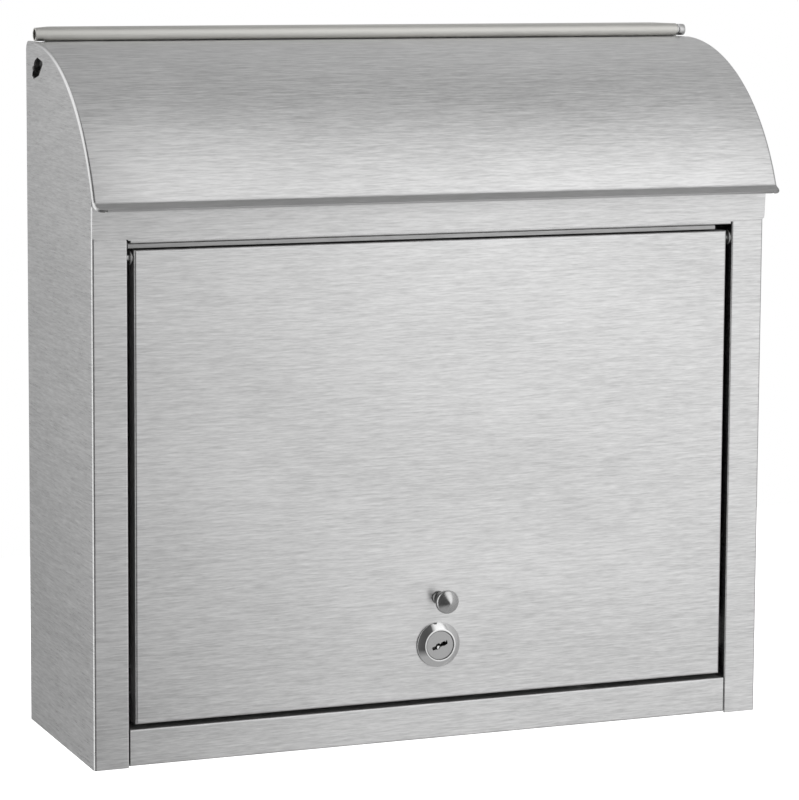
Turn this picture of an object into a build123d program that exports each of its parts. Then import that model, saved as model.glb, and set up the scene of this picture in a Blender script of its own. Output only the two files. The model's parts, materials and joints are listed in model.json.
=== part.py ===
from build123d import *
import math
import os

# Wall mounted letter box in folded stainless sheet, millimetres.
# The wall is the plane y = 0 and the box stands in front of it towards -Y.
# Heights are counted from the underside of the box while it is being drawn; every
# piece is then lowered by SCREW_HEIGHT, so the origin is the middle of the wall screws.

# ---- main sizes ----
BOX_WIDTH = 380.0
BOX_DEPTH = 120.0
SHEET = 1.0
BEND = 1.3  # outside radius of a pressed fold
HALF = BOX_WIDTH / 2
FRONT = -BOX_DEPTH
INSIDE = HALF - SHEET
FOLD_GAP = 0.3  # air left between sheets that slide past each other

# ---- wall screws ----
SCREW_HEIGHT = 180.0
SCREW_SPACING_X = 280.0
SCREW_SPACING_Z = 260.0
SCREW_HOLE_R = 3.25
BACK_HEIGHT = 366.0
BACK_FLANGE_START = 18.0
BACK_FLANGE_TOP = 340.0

# ---- front frame ----
POST_WIDTH = 18.8
POST_TOP = 290.0
JAMB_DEPTH = 12.0
JAMB_START = 3.0
JAMB_X = HALF - POST_WIDTH
BOTTOM_RAISE = 0.8
RAIL_HEIGHT = 19.9
RAIL_RETURN = 16.5
RAIL_LIP = 7.0
RAIL_GAP = 0.5
OPENING_TOP = 271.1
GAP_STRIP_END = 161.0  # right end of the strip under the top rail
GAP_STRIP_SHEET = 0.8
GAP_STRIP_SETBACK = 0.4
FLANGE = 12.0

# ---- top rail ----
RAIL_FACE_Y = FRONT - SHEET
RAIL_LEAN = 2.0
RAIL_TOP = 300.0
RAIL_EDGE = 273.0
RAIL_CORNER_R = 2.3
RAIL_BACK = 13.0
RAIL_SILL = 17.0
RELIEF = 1.4

# ---- lid and its rolled hinge ----
ARC_Y = -20.0
ARC_Z = 250.5
ARC_R = 118.6
HINGE_Y = ARC_Y
CURL_R = 3.5
CURL_SHEET = 0.8
HINGE_GAP = 0.25
HINGE_Z = ARC_Z + ARC_R + HINGE_GAP + CURL_R
ROD_R = 2.62
LID_HALF = 192.5
LID_NECK_HALF = 186.0
LID_NECK_Y = -24.0
LIP_Z = 292.6
LIP_LENGTH = 6.8
LIP_DROP = 26.0  # degrees below level
HOOK_END = 345.0
CURL_START = -6.0  # the slot for the lid runs from here round to the curl's end
CURL_END = 278.0
STRIP_LEFT = -191.0
STRIP_RIGHT = 185.0
STRIP_RING_END = -186.6  # left of here the curl is a whole ring
STRIP_BACK_HALF = 178.0
STRIP_FOOT = 345.0
ROD_LEFT = -184.0
ROD_RIGHT = 190.0
ROD_HEAD_R = 3.2  # head on the right end of the rod
ROD_HEAD_START = 186.2
ROD_CHAMFER = 0.6
SIDE_ARC_R = ARC_R - SHEET - FOLD_GAP
SIDE_REAR_TOP = 369.0
SIDE_STEP_Y = -23.3
SIDE_REAR_R = 5.0

# ---- lid stop ----
SLOT_CORNERS = (
    (-15.8, 358.6),
    (-21.6, 360.9),
    (-33.1, 358.7),
    (-24.6, 351.4),
    (-13.5, 349.0),
    (-10.9, 350.9),
)
SLOT_CORNER_R = 1.2
STOP_R = 18.0
STOP_ANGLE = -9.0  # from straight down, positive to the front
STOP_PIN_R = 1.3
EAR_X = 187.4
EAR_PIN_R = 1.0
EAR_HEAD_R = 1.8
EAR_FRONT = 99.0  # the tab's ends on the lid's curve, degrees from +Y
EAR_REAR = 92.5
EAR_ARM = (
    (-37.0, 363.2),
    (-24.6, 362.8),
    (-19.9, 355.6),
    (-18.9, 353.2),
    (-15.6, 353.0),
    (-14.8, 356.2),
    (-18.4, 361.6),
)
STOP_PIN_PROUD = 1.2
EAR_HEAD = 0.8
BUMPER_X = 120.0
BUMPER_Z = 297.0
BUMPER_R = 3.0
BUMPER_PLAY = 0.15

# ---- door ----
DOOR_HALF = 167.8
DOOR_BOTTOM = 22.5
DOOR_TOP = 267.6
DOOR_DEPTH = 10.0
PIVOT_Y = FRONT + 4.2
PIVOT_Z = DOOR_TOP - 4.0
PIVOT_R = 2.0
PIVOT_FIT = 0.08
PIVOT_HEAD_R = 3.0
PIVOT_HEAD = 1.4
PIVOT_CLIP_R = 2.7
PIVOT_CLIP = 1.2
WASHER_R = 4.0
WASHER = 0.6
WASHER_HUB_R = 2.9
WASHER_HUB = 0.9
PIVOT_TAIL = 4.0
TAB_LOW = 36.0
TAB_HIGH = 52.0
TAB_REACH = 6.0
TAB_CORNER_R = 2.5
PAD_MARGIN = 2.0
PAD_REACH = 4.0
PAD_THICK = 1.0
PAD_PLAY = 0.1

# ---- knob and lock ----
KNOB_Z = 77.1
KNOB_PROFILE = (  # radius, distance from the door
    (0, 0),
    (3.6, 0),
    (3.6, 0.9),
    (2.9, 1.6),
    (2.9, 8.2),
    (5.9, 10.4),
    (6.35, 11.4),
    (6.35, 13.0),
    (5.9, 13.6),
    (0.8, 17.2),
    (0, 17.3),
)
KNOB_SCREW_R = 2.0
KNOB_SCREW_HEAD_R = 3.8
KNOB_SCREW_HEAD = 2.2
KNOB_WASHER_R = 5.0
KNOB_WASHER = 1.0
LOCK_Z = 51.8
BEZEL_R = 12.15
BEZEL_TOP_R = 8.75
BEZEL_EDGE = 1.0
BEZEL_HEIGHT = 3.4
PLUG_FACE = 2.9
CAP_SEAT = 1.6
BARREL_R = 9.5
BARREL_FLAT = 8.3
BARREL_END = -103.4
CAP_R = 7.8
PLUG_R = 6.5
LOCK_FIT = 0.07
CAM_Y = -102.4
CAM_THICK = 2.0
CAM_REACH = 38.0
CAM_WIDTH = 14.0
TANG = 7.0
CAM_SCREW_R = 2.0
CAM_WASHER_R = 5.5
CAM_WASHER = 0.8
LOCK_WASHER_R = 13.0
LOCK_WASHER = 0.8
LOCK_NUT_R = 13.0
LOCK_NUT = 4.5
KEYWAY = (8.4, 18.0, 1.9)
KEYWAY_ANGLE = 20.0


def put(node, shape):
    """Lower a finished piece to the shared origin and write its file."""
    solids = shape.solids()
    whole = solids[0] if len(solids) == 1 else Compound(children=list(solids))
    whole = whole.moved(Location((0, 0, -SCREW_HEIGHT)))
    export_step(whole, f"parts/{node}.step")


def block(x0, x1, y0, y1, z0, z1):
    """A plain block between two corners."""
    size = Box(x1 - x0, y1 - y0, z1 - z0)
    return size.moved(Location(((x0 + x1) / 2, (y0 + y1) / 2, (z0 + z1) / 2)))


def rod_x(x0, x1, y, z, r):
    """A round bar along X."""
    bar = Cylinder(r, x1 - x0, rotation=(0, 90, 0))
    return bar.moved(Location(((x0 + x1) / 2, y, z)))


def rod_y(y0, y1, x, z, r):
    """A round bar along Y."""
    bar = Cylinder(r, y1 - y0, rotation=(90, 0, 0))
    return bar.moved(Location((x, (y0 + y1) / 2, z)))


def side_plane_extrude(face, x0, x1):
    """Extrude a face drawn as (y, z) from x0 to x1."""
    prism = extrude(Plane.YZ * face, x1 - x0)
    return prism.moved(Location((x0, 0, 0)))


def polar(cy, cz, r, degrees):
    """Point at an angle from +Y, turning towards +Z."""
    a = math.radians(degrees)
    return (cy + r * math.cos(a), cz + r * math.sin(a))


def ring_arc(cy, cz, r, a0, a1):
    """Arc about (cy, cz) between two angles."""
    return ThreePointArc(
        polar(cy, cz, r, a0), polar(cy, cz, r, (a0 + a1) / 2), polar(cy, cz, r, a1)
    )


def ring_band(cy, cz, r_in, r_out, a0, a1):
    """Flat band between two radii, as a (y, z) face."""
    edges = [
        ring_arc(cy, cz, r_in, a0, a1),
        Line(polar(cy, cz, r_in, a1), polar(cy, cz, r_out, a1)),
        ring_arc(cy, cz, r_out, a1, a0),
        Line(polar(cy, cz, r_out, a0), polar(cy, cz, r_in, a0)),
    ]
    return make_face(Wire(edges))


def ring_x(x0, x1, y, z, r_out, r_in):
    """A flat ring standing across X."""
    return rod_x(x0, x1, y, z, r_out) - rod_x(x0 - 1, x1 + 1, y, z, r_in)


def mirrored(shape):
    """The same piece on the other side of the box."""
    return mirror(shape, about=Plane.YZ)


# ---- side panels: outer plate, front post and its return in one folded sheet ----
def side_outline():
    """Plate outline with the curved top that the lid follows."""
    arc_start = ARC_Z + math.sqrt(SIDE_ARC_R**2 - (ARC_Y - FRONT) ** 2)
    start_angle = math.degrees(math.atan2(arc_start - ARC_Z, FRONT - ARC_Y))
    step_angle = math.degrees(math.acos((SIDE_STEP_Y - ARC_Y) / SIDE_ARC_R))
    step = polar(ARC_Y, ARC_Z, SIDE_ARC_R, step_angle)
    edges = [
        Line((0, 0), (FRONT + BEND, 0)),
        Line((FRONT + BEND, 0), (FRONT + BEND, POST_TOP)),
        Line((FRONT + BEND, POST_TOP), (FRONT, POST_TOP)),
        Line((FRONT, POST_TOP), (FRONT, arc_start)),
        ring_arc(ARC_Y, ARC_Z, SIDE_ARC_R, start_angle, step_angle),
        Line(step, (SIDE_STEP_Y, SIDE_REAR_TOP)),
        Line((SIDE_STEP_Y, SIDE_REAR_TOP), (0, SIDE_REAR_TOP)),
        Line((0, SIDE_REAR_TOP), (0, 0)),
    ]
    return make_face(Wire(edges))


def stop_slot():
    """Opening in the side that the lid's stop pin travels in."""
    outline = make_face(Polyline(*SLOT_CORNERS, close=True))
    prism = side_plane_extrude(outline, -HALF - SHEET, -INSIDE + SHEET)
    return fillet(prism.edges().filter_by(Axis.X), SLOT_CORNER_R)


def left_side():
    plate = side_plane_extrude(side_outline(), -HALF, -INSIDE)
    rear_corner = plate.edges().filter_by(Axis.X).sort_by(lambda e: e.center().Y + e.center().Z)[-1]
    plate = fillet(rear_corner, SIDE_REAR_R)
    fold = block(-HALF, -JAMB_X, FRONT, FRONT + BEND, 0, POST_TOP)
    hollow = block(-INSIDE, -JAMB_X, FRONT + SHEET, FRONT + BEND + SHEET, 0, POST_TOP)
    fold = fold - hollow
    corner = fold.edges().filter_by(Axis.Z).sort_by(lambda e: e.center().X + e.center().Y)[0]
    fold = fillet(corner, BEND - 0.1)
    jamb = block(-JAMB_X - SHEET, -JAMB_X, FRONT, FRONT + JAMB_DEPTH, JAMB_START, POST_TOP)
    side = plate + fold + jamb - stop_slot()
    inner_fold = [
        e
        for e in side.edges().filter_by(Axis.Z)
        if abs(e.center().X + JAMB_X) < 0.01 and abs(e.center().Y - FRONT) < 0.01
    ]
    side = fillet([e for e in inner_fold if e.length > POST_WIDTH], BEND - 0.4)
    return side - rod_x(-JAMB_X - 2 * SHEET, -JAMB_X + SHEET, PIVOT_Y, PIVOT_Z, PIVOT_R)


# ---- back panel with forward flanges on both sides ----
def back_panel():
    sheet = block(-INSIDE, INSIDE, -SHEET, 0, 0, BACK_HEIGHT)
    side = -INSIDE + SHEET
    flange = block(-INSIDE, side, -FLANGE - SHEET, -SHEET, BACK_FLANGE_START, BACK_FLANGE_TOP)
    sheet = sheet + flange + mirrored(flange)
    for x in (-SCREW_SPACING_X / 2, SCREW_SPACING_X / 2):
        for z in (-SCREW_SPACING_Z / 2, SCREW_SPACING_Z / 2):
            sheet -= rod_y(-2 * SHEET, SHEET, x, SCREW_HEIGHT + z, SCREW_HOLE_R)
    return sheet


# ---- rolled hinge strip over the back edge, its curl holding the lid's rod ----
def hinge_strip():
    """Curl slotted for the lid's neck, with a shelf and a leg behind the back panel."""
    top = HINGE_Z + CURL_R
    bore = CURL_R - CURL_SHEET
    curl = ring_band(HINGE_Y, HINGE_Z, bore, CURL_R, CURL_START, CURL_END)
    curl = side_plane_extrude(curl, STRIP_LEFT, STRIP_RIGHT)
    curl += ring_x(STRIP_LEFT, STRIP_RING_END, HINGE_Y, HINGE_Z, CURL_R, bore)
    shelf = block(STRIP_LEFT, STRIP_RIGHT, HINGE_Y, -SHEET, top - CURL_SHEET, top)
    bend_edge = shelf.edges().filter_by(Axis.X).sort_by(lambda e: e.center().Y + e.center().Z)[-1]
    shelf = fillet(bend_edge, CURL_SHEET * 0.9)
    back = -SHEET
    for end, side in ((STRIP_LEFT, -1), (STRIP_RIGHT, 1)):
        corner = Polygon(
            (end, HINGE_Y),
            (end + side, HINGE_Y),
            (end + side, back + 1),
            (side * STRIP_BACK_HALF, back + 1),
            (side * STRIP_BACK_HALF, back),
            align=None,
        )
        shelf -= extrude(Plane.XY.offset(top - 2) * corner, 4)
    leg = block(
        -STRIP_BACK_HALF, STRIP_BACK_HALF, back - CURL_SHEET, back, STRIP_FOOT, top - CURL_SHEET
    )
    return curl + shelf + leg


# ---- bottom panel, turned up at the front as the bottom rail ----
def bottom_panel():
    low = BOTTOM_RAISE
    half = JAMB_X - RAIL_GAP
    tray = block(-INSIDE, INSIDE, FRONT + SHEET + 0.2, -SHEET, low, low + SHEET)
    front = block(-half, half, FRONT, FRONT + 2 * SHEET, low, RAIL_HEIGHT)
    front -= block(-half, half, FRONT + SHEET, FRONT + 3, low + SHEET, RAIL_HEIGHT - SHEET)
    rear_y = FRONT + RAIL_RETURN
    ledge = block(-half, half, FRONT + SHEET, rear_y, RAIL_HEIGHT - SHEET, RAIL_HEIGHT)
    lip = block(-half, half, rear_y - SHEET, rear_y, RAIL_HEIGHT - RAIL_LIP, RAIL_HEIGHT)
    tray = tray + front + ledge + lip
    long_edges = tray.edges().filter_by(Axis.X)
    folds = [
        e
        for e in long_edges
        if abs(e.center().Y - FRONT) < 0.01 or abs(e.center().Y - rear_y) < 0.01
    ]
    folds = [e for e in folds if abs(e.center().Z - (RAIL_HEIGHT - RAIL_LIP)) > 1]
    tray = fillet(folds, BEND - 0.4)
    rear = block(-INSIDE + 2, INSIDE - 2, -2 * SHEET, -SHEET, low, low + FLANGE)
    wing = block(-INSIDE, -INSIDE + SHEET, FRONT + 2 * FLANGE, -2 * FLANGE, low, low + FLANGE)
    return tray + rear + wing + mirrored(wing)


# ---- top rail: leaning face plate over the posts, return below, sill above ----
def top_rail():
    back_y = FRONT
    lean = RAIL_LEAN
    low = OPENING_TOP
    corners = [
        (back_y, low),
        (RAIL_FACE_Y, low),
        (RAIL_FACE_Y - lean, RAIL_TOP),
        (FRONT + RAIL_SILL - lean, RAIL_TOP - 3),
        (FRONT + RAIL_SILL - lean, RAIL_TOP - 3 - SHEET),
        (back_y - lean, RAIL_TOP - SHEET),
    ]
    face = make_face(Polyline(*corners, close=True))
    plate = side_plane_extrude(face, -HALF, HALF)
    for side in (-1, 1):
        x0, x1 = sorted((side * (HALF + 1), side * JAMB_X))
        plate -= block(x0, x1, FRONT - 5, FRONT + 1, low - 1, RAIL_EDGE)
        x0, x1 = sorted((side * (INSIDE - 0.5), side * (HALF + 1)))
        plate -= block(x0, x1, FRONT - 0.2 - lean * 0.9, 0, RAIL_TOP - 9, RAIL_TOP + 1)
        x0, x1 = sorted((side * JAMB_X, side * (JAMB_X - RELIEF)))
        plate -= block(x0, x1, FRONT - 5, FRONT + 5, low - 1, low + RELIEF)
    outer = [
        e
        for e in plate.edges()
        if abs(abs(e.center().X) - HALF) < 0.01 and abs(e.center().Z - RAIL_EDGE) < 0.01
    ]
    plate = fillet(outer, RAIL_CORNER_R)
    half = JAMB_X - RELIEF
    under = block(-half, half, FRONT - SHEET, FRONT + RAIL_BACK, low, low + SHEET)
    fold = under.edges().filter_by(Axis.X).sort_by(lambda e: e.center().Y + e.center().Z)[0]
    under = fillet(fold, 0.8)
    plate -= block(-half, half, FRONT - 3, FRONT + 0.1, low - 1, low + SHEET)
    return plate + under


# ---- narrow strip under the rail that closes most of the gap over the door ----
def door_gap_strip():
    """Joggled strip: a set-back face below the rail and a foot fixed under its return."""
    x0 = -JAMB_X + 0.2
    x1 = GAP_STRIP_END
    y0 = FRONT + GAP_STRIP_SETBACK
    thick = GAP_STRIP_SHEET
    top = OPENING_TOP - 0.5
    face = block(x0, x1, y0, y0 + thick, DOOR_TOP + 0.9, top)
    step = block(x0, x1, y0, y0 + 3, top - thick, top)
    foot = block(x0, x1, y0 + 2.2, y0 + 9, OPENING_TOP - thick, OPENING_TOP)
    return face + step + foot


# ---- lid: one curved sheet, flared lip in front, hooked neck behind ----
def lid_shell():
    inner_r = ARC_R - SHEET
    lip_angle = 180 - math.degrees(math.asin((LIP_Z - ARC_Z) / ARC_R))
    root = polar(ARC_Y, ARC_Z, ARC_R, lip_angle)
    drop = math.radians(LIP_DROP)
    out = (-math.cos(drop), -math.sin(drop))
    under = (math.sin(drop) * SHEET, -math.cos(drop) * SHEET)
    tip = (root[0] + out[0] * LIP_LENGTH, root[1] + out[1] * LIP_LENGTH)
    tip_under = (tip[0] + under[0], tip[1] + under[1])
    # where the underside of the lip meets the inside of the curve
    start = (root[0] + under[0] - ARC_Y, root[1] + under[1] - ARC_Z)
    back = -(start[0] * out[0] + start[1] * out[1])
    reach = back + math.sqrt(back**2 - (start[0] ** 2 + start[1] ** 2 - inner_r**2))
    meet = (start[0] + ARC_Y + out[0] * reach, start[1] + ARC_Z + out[1] * reach)
    meet_angle = math.degrees(math.atan2(meet[1] - ARC_Z, meet[0] - ARC_Y))
    crown_out = (ARC_Y, ARC_Z + ARC_R)
    crown_in = (ARC_Y, ARC_Z + inner_r)
    edges = [
        ring_arc(ARC_Y, ARC_Z, ARC_R, 90, lip_angle),
        Line(root, tip),
        Line(tip, tip_under),
        Line(tip_under, meet),
        ring_arc(ARC_Y, ARC_Z, inner_r, meet_angle, 90),
        Line(crown_in, crown_out),
    ]
    profile = make_face(Wire(edges))
    shell = side_plane_extrude(profile, -LID_HALF, LID_HALF)
    bends = shell.edges().filter_by(Axis.X)
    outside = bends.sort_by_distance((0, root[0], root[1]))[0]
    shell = fillet(outside, 1.2)
    inside = shell.edges().filter_by(Axis.X).sort_by_distance((0, meet[0], meet[1]))[0]
    shell = fillet(inside, 2.2)
    corners = [
        e
        for e in shell.edges()
        if abs(abs(e.center().X) - LID_HALF) < 0.01
        and abs(e.center().Y - (tip[0] + tip_under[0]) / 2) < 0.05
        and e.length < 2 * SHEET
    ]
    shell = fillet(corners, 3.0)
    for side in (-1, 1):
        x0, x1 = sorted((side * LID_NECK_HALF, side * (LID_HALF + 1)))
        shell -= block(x0, x1, LID_NECK_Y, 0, HINGE_Z - 20, HINGE_Z)
    near = CURL_R + HINGE_GAP
    hook = ring_band(HINGE_Y, HINGE_Z, near, near + SHEET, 270, HOOK_END)
    hook = side_plane_extrude(hook, -LID_NECK_HALF, LID_NECK_HALF)
    web = ring_band(HINGE_Y, HINGE_Z, ROD_R, near + 0.1, HOOK_END - 12, HOOK_END)
    web = side_plane_extrude(web, ROD_LEFT, LID_NECK_HALF)
    return shell + hook + web


def lid_hinge_rod():
    """Drawn rod with a broken left end and a head on its right end."""
    rod = rod_x(ROD_LEFT, ROD_HEAD_START, HINGE_Y, HINGE_Z, ROD_R)
    rod = chamfer(rod.edges().filter_by(GeomType.CIRCLE).sort_by(Axis.X)[0], ROD_CHAMFER)
    head = rod_x(ROD_HEAD_START, ROD_RIGHT, HINGE_Y, HINGE_Z, ROD_HEAD_R)
    head = chamfer(head.edges().filter_by(GeomType.CIRCLE).sort_by(Axis.X)[-1], ROD_CHAMFER)
    return rod + head


# ---- lid ears inside the side panels, each with a stop pin through the slot ----
def left_ear():
    """Tab under the lid's curve with a narrow arm down to the stop pin."""
    inner_r = ARC_R - SHEET
    front_top = polar(ARC_Y, ARC_Z, inner_r, EAR_FRONT)
    rear_top = polar(ARC_Y, ARC_Z, inner_r, EAR_REAR)
    arm = [front_top, *EAR_ARM, rear_top]
    edges = [ring_arc(ARC_Y, ARC_Z, inner_r, EAR_REAR, EAR_FRONT)]
    edges += [Line(a, b) for a, b in zip(arm, arm[1:])]
    ear = side_plane_extrude(make_face(Wire(edges)), -EAR_X, -EAR_X + SHEET)
    y, z = polar(HINGE_Y, HINGE_Z, STOP_R, 270 - STOP_ANGLE)
    return ear - rod_x(-EAR_X - 1, -EAR_X + 2 * SHEET, y, z, EAR_PIN_R)


def lid_stop_pins():
    """Stepped pins riveted through the ears."""
    y, z = polar(HINGE_Y, HINGE_Z, STOP_R, 270 - STOP_ANGLE)
    inner = -EAR_X + SHEET
    pin = rod_x(-HALF - STOP_PIN_PROUD, -EAR_X, y, z, STOP_PIN_R)
    pin = chamfer(pin.edges().sort_by(Axis.X)[0], 0.4)
    pin += rod_x(-EAR_X, inner, y, z, EAR_PIN_R)
    pin += rod_x(inner, inner + EAR_HEAD, y, z, EAR_HEAD_R)
    return Compound(children=[pin.solid(), mirrored(pin).solid()])


def lid_bumpers():
    """Rubber buttons on the rail's face, hidden under the lid, where the lid lands."""
    top = BUMPER_Z + BUMPER_R
    inner = ARC_Y - math.sqrt((ARC_R - SHEET) ** 2 - (top - ARC_Z) ** 2)
    pads = []
    for x in (-BUMPER_X, BUMPER_X):
        pad = rod_y(inner + BUMPER_PLAY, RAIL_FACE_Y - RAIL_LEAN, x, BUMPER_Z, BUMPER_R)
        pads.append((pad - top_rail_face_cut()).solid())
    return Compound(children=pads)


def top_rail_face_cut():
    """Everything behind the leaning face of the top rail."""
    edges = Polyline(
        (RAIL_FACE_Y, OPENING_TOP),
        (RAIL_FACE_Y - RAIL_LEAN, RAIL_TOP),
        (0, RAIL_TOP + 5),
        (0, OPENING_TOP),
        close=True,
    )
    return side_plane_extrude(make_face(edges), -HALF, HALF)


# ---- door: shallow folded pan hung from two pivots near its top edge ----
def door_panel():
    pan = block(-DOOR_HALF, DOOR_HALF, FRONT, FRONT + DOOR_DEPTH, DOOR_BOTTOM, DOOR_TOP)
    rim = pan.faces().sort_by(Axis.Y)[0].edges()
    pan = fillet(rim, BEND - 0.2)
    room = block(
        -DOOR_HALF + SHEET,
        DOOR_HALF - SHEET,
        FRONT + SHEET,
        FRONT + DOOR_DEPTH + 1,
        DOOR_BOTTOM + SHEET,
        DOOR_TOP - SHEET,
    )
    pan -= room
    hole_r = PIVOT_R + PIVOT_FIT
    pan -= rod_x(-DOOR_HALF - 1, -DOOR_HALF + 3, PIVOT_Y, PIVOT_Z, hole_r)
    pan -= rod_x(DOOR_HALF - 3, DOOR_HALF + 1, PIVOT_Y, PIVOT_Z, hole_r)
    pan -= rod_y(FRONT - 1, FRONT + 3, 0, KNOB_Z, 2.1)
    hole = rod_y(FRONT - 1, FRONT + 3, 0, LOCK_Z, BARREL_R)
    hole &= block(-BARREL_FLAT, BARREL_FLAT, FRONT - 1, FRONT + 3, LOCK_Z - 20, LOCK_Z + 20)
    return pan - hole


def door_pivot_pins():
    """Shouldered pins riveted through the post returns."""
    inner = DOOR_HALF - PIVOT_TAIL
    pin = rod_x(-JAMB_X - SHEET, -inner, PIVOT_Y, PIVOT_Z, PIVOT_R)
    pin += rod_x(-JAMB_X - SHEET - PIVOT_HEAD, -JAMB_X - SHEET, PIVOT_Y, PIVOT_Z, PIVOT_HEAD_R)
    return Compound(children=[pin.solid(), mirrored(pin).solid()])


def door_pivot_washers():
    """Flanged bushes: the left one stands on the door's side, the right one on the post."""
    left_x = -DOOR_HALF - FOLD_GAP / 2
    flange = left_x - WASHER_HUB - WASHER
    left = ring_x(flange, flange + WASHER, PIVOT_Y, PIVOT_Z, WASHER_R, PIVOT_R)
    left += ring_x(flange + WASHER, left_x, PIVOT_Y, PIVOT_Z, WASHER_HUB_R, PIVOT_R)
    flange = JAMB_X - WASHER_HUB - WASHER
    right = ring_x(flange, flange + WASHER, PIVOT_Y, PIVOT_Z, WASHER_R, PIVOT_R)
    right += ring_x(flange + WASHER, JAMB_X, PIVOT_Y, PIVOT_Z, WASHER_HUB_R, PIVOT_R)
    return Compound(children=[left.solid(), right.solid()])


def door_pivot_clips():
    """Push-on caps that keep the door on its pins."""
    near = DOOR_HALF - SHEET - FOLD_GAP
    cap = ring_x(-near, -near + PIVOT_CLIP, PIVOT_Y, PIVOT_Z, PIVOT_CLIP_R, PIVOT_R)
    return Compound(children=[cap.solid(), mirrored(cap).solid()])


def door_stop_tabs():
    """Tabs turned in from the post returns, behind the door's side folds."""
    y = FRONT + DOOR_DEPTH + PAD_PLAY + PAD_THICK
    tab = block(-JAMB_X, -DOOR_HALF + TAB_REACH, y, y + SHEET, TAB_LOW, TAB_HIGH)
    tab = fillet(tab.edges().filter_by(Axis.Y).sort_by(Axis.X)[-2:], TAB_CORNER_R)
    return Compound(children=[tab.solid(), mirrored(tab).solid()])


def door_stop_pads():
    """Thin rubber faces on the tabs, which the closed door leans on."""
    y = FRONT + DOOR_DEPTH + PAD_PLAY
    low = TAB_LOW + PAD_MARGIN
    high = TAB_HIGH - PAD_MARGIN
    pad = block(-DOOR_HALF - 1, -DOOR_HALF + PAD_REACH, y, y + PAD_THICK, low, high)
    return Compound(children=[pad.solid(), mirrored(pad).solid()])


# ---- knob with its screw and washer ----
def knob():
    """Turned knob: small foot, stem, coned head."""
    half = make_face(Polyline(*KNOB_PROFILE, close=True))
    turned = revolve(Plane.XY * half, Axis.Y)
    turned = turned.rotate(Axis.X, 180).moved(Location((0, FRONT, KNOB_Z)))
    return turned - rod_y(FRONT - 8, FRONT + 1, 0, KNOB_Z, KNOB_SCREW_R)


def knob_screw():
    """Cross-head screw from inside the door."""
    under = FRONT + SHEET + KNOB_WASHER
    shank = rod_y(FRONT - 7.5, under, 0, KNOB_Z, KNOB_SCREW_R)
    head = rod_y(under, under + KNOB_SCREW_HEAD, 0, KNOB_Z, KNOB_SCREW_HEAD_R)
    head = fillet(head.edges().sort_by(Axis.Y)[-1], 1.0)
    y0, y1 = under + KNOB_SCREW_HEAD - 1.0, under + KNOB_SCREW_HEAD + 1.0
    arm, blade = 2.2, 0.5
    cross = block(-arm, arm, y0, y1, KNOB_Z - blade, KNOB_Z + blade)
    cross += block(-blade, blade, y0, y1, KNOB_Z - arm, KNOB_Z + arm)
    return shank + head - cross


def knob_washer():
    ring = rod_y(FRONT + SHEET, FRONT + SHEET + KNOB_WASHER, 0, KNOB_Z, KNOB_WASHER_R)
    return ring - rod_y(FRONT, FRONT + 4, 0, KNOB_Z, KNOB_SCREW_R)


# ---- cam lock: body and bezel, washer, nut, turning plug, cam, cam screw ----
def barrel_shape(y0, y1, extra=0.0):
    """Threaded barrel with two flats, between two depths."""
    flat = BARREL_FLAT + extra
    bar = rod_y(y0, y1, 0, LOCK_Z, BARREL_R + extra)
    return bar & block(-flat, flat, y0, y1, LOCK_Z - 20, LOCK_Z + 20)


def lock_body():
    base = FRONT
    profile = [
        (0, base),
        (BEZEL_R, base),
        (BEZEL_R, base - BEZEL_EDGE),
        (BEZEL_TOP_R, base - BEZEL_HEIGHT),
        (0, base - BEZEL_HEIGHT),
    ]
    half = make_face(Polyline(*profile, close=True))
    bezel = revolve(half, Axis.Y).moved(Location((0, 0, LOCK_Z)))
    body = bezel + barrel_shape(base, BARREL_END)
    body -= rod_y(base - BEZEL_HEIGHT - 1, base - CAP_SEAT, 0, LOCK_Z, CAP_R + LOCK_FIT)
    return body - rod_y(base - 5, BARREL_END + 1, 0, LOCK_Z, PLUG_R + LOCK_FIT)


def lock_washer():
    y0 = FRONT + SHEET
    ring = rod_y(y0, y0 + LOCK_WASHER, 0, LOCK_Z, LOCK_WASHER_R)
    return ring - barrel_shape(y0 - 1, y0 + 2)


def lock_nut():
    y0 = FRONT + SHEET + LOCK_WASHER
    hexagon = extrude(Plane.XZ * RegularPolygon(LOCK_NUT_R, 6), LOCK_NUT)
    nut = hexagon.moved(Location((0, y0 + LOCK_NUT, LOCK_Z)))
    nut = nut & rod_y(y0, y0 + LOCK_NUT, 0, LOCK_Z, LOCK_NUT_R - 0.6)
    return nut - rod_y(y0 - 1, y0 + 6, 0, LOCK_Z, BARREL_R)


def lock_plug():
    """Key plug: wide face, slanted keyway, stem and square tang."""
    face_y = FRONT - PLUG_FACE
    back_y = FRONT - CAP_SEAT - LOCK_FIT
    plug = rod_y(face_y, back_y, 0, LOCK_Z, CAP_R)
    plug += rod_y(back_y, BARREL_END, 0, LOCK_Z, PLUG_R)
    half = TANG / 2
    plug += block(-half, half, BARREL_END, CAM_Y + CAM_THICK, LOCK_Z - half, LOCK_Z + half)
    keyway = Box(*KEYWAY).rotate(Axis.Y, -KEYWAY_ANGLE)
    plug -= keyway.moved(Location((0, face_y + 8.0, LOCK_Z)))
    return plug - rod_y(-112, CAM_Y + CAM_THICK + 1, 0, LOCK_Z, CAM_SCREW_R)


def lock_cam():
    """Flat tongue lying level at rest, clear of the bottom rail."""
    r = CAM_WIDTH / 2
    tongue = rod_y(CAM_Y, CAM_Y + CAM_THICK, 0, LOCK_Z, r)
    tongue += block(0, CAM_REACH, CAM_Y, CAM_Y + CAM_THICK, LOCK_Z - r, LOCK_Z + r)
    end = tongue.edges().filter_by(Axis.Y).sort_by(Axis.X)[-2:]
    tongue = fillet(end, 4.0)
    half = TANG / 2
    return tongue - block(-half, half, CAM_Y - 1, CAM_Y + 5, LOCK_Z - half, LOCK_Z + half)


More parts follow.
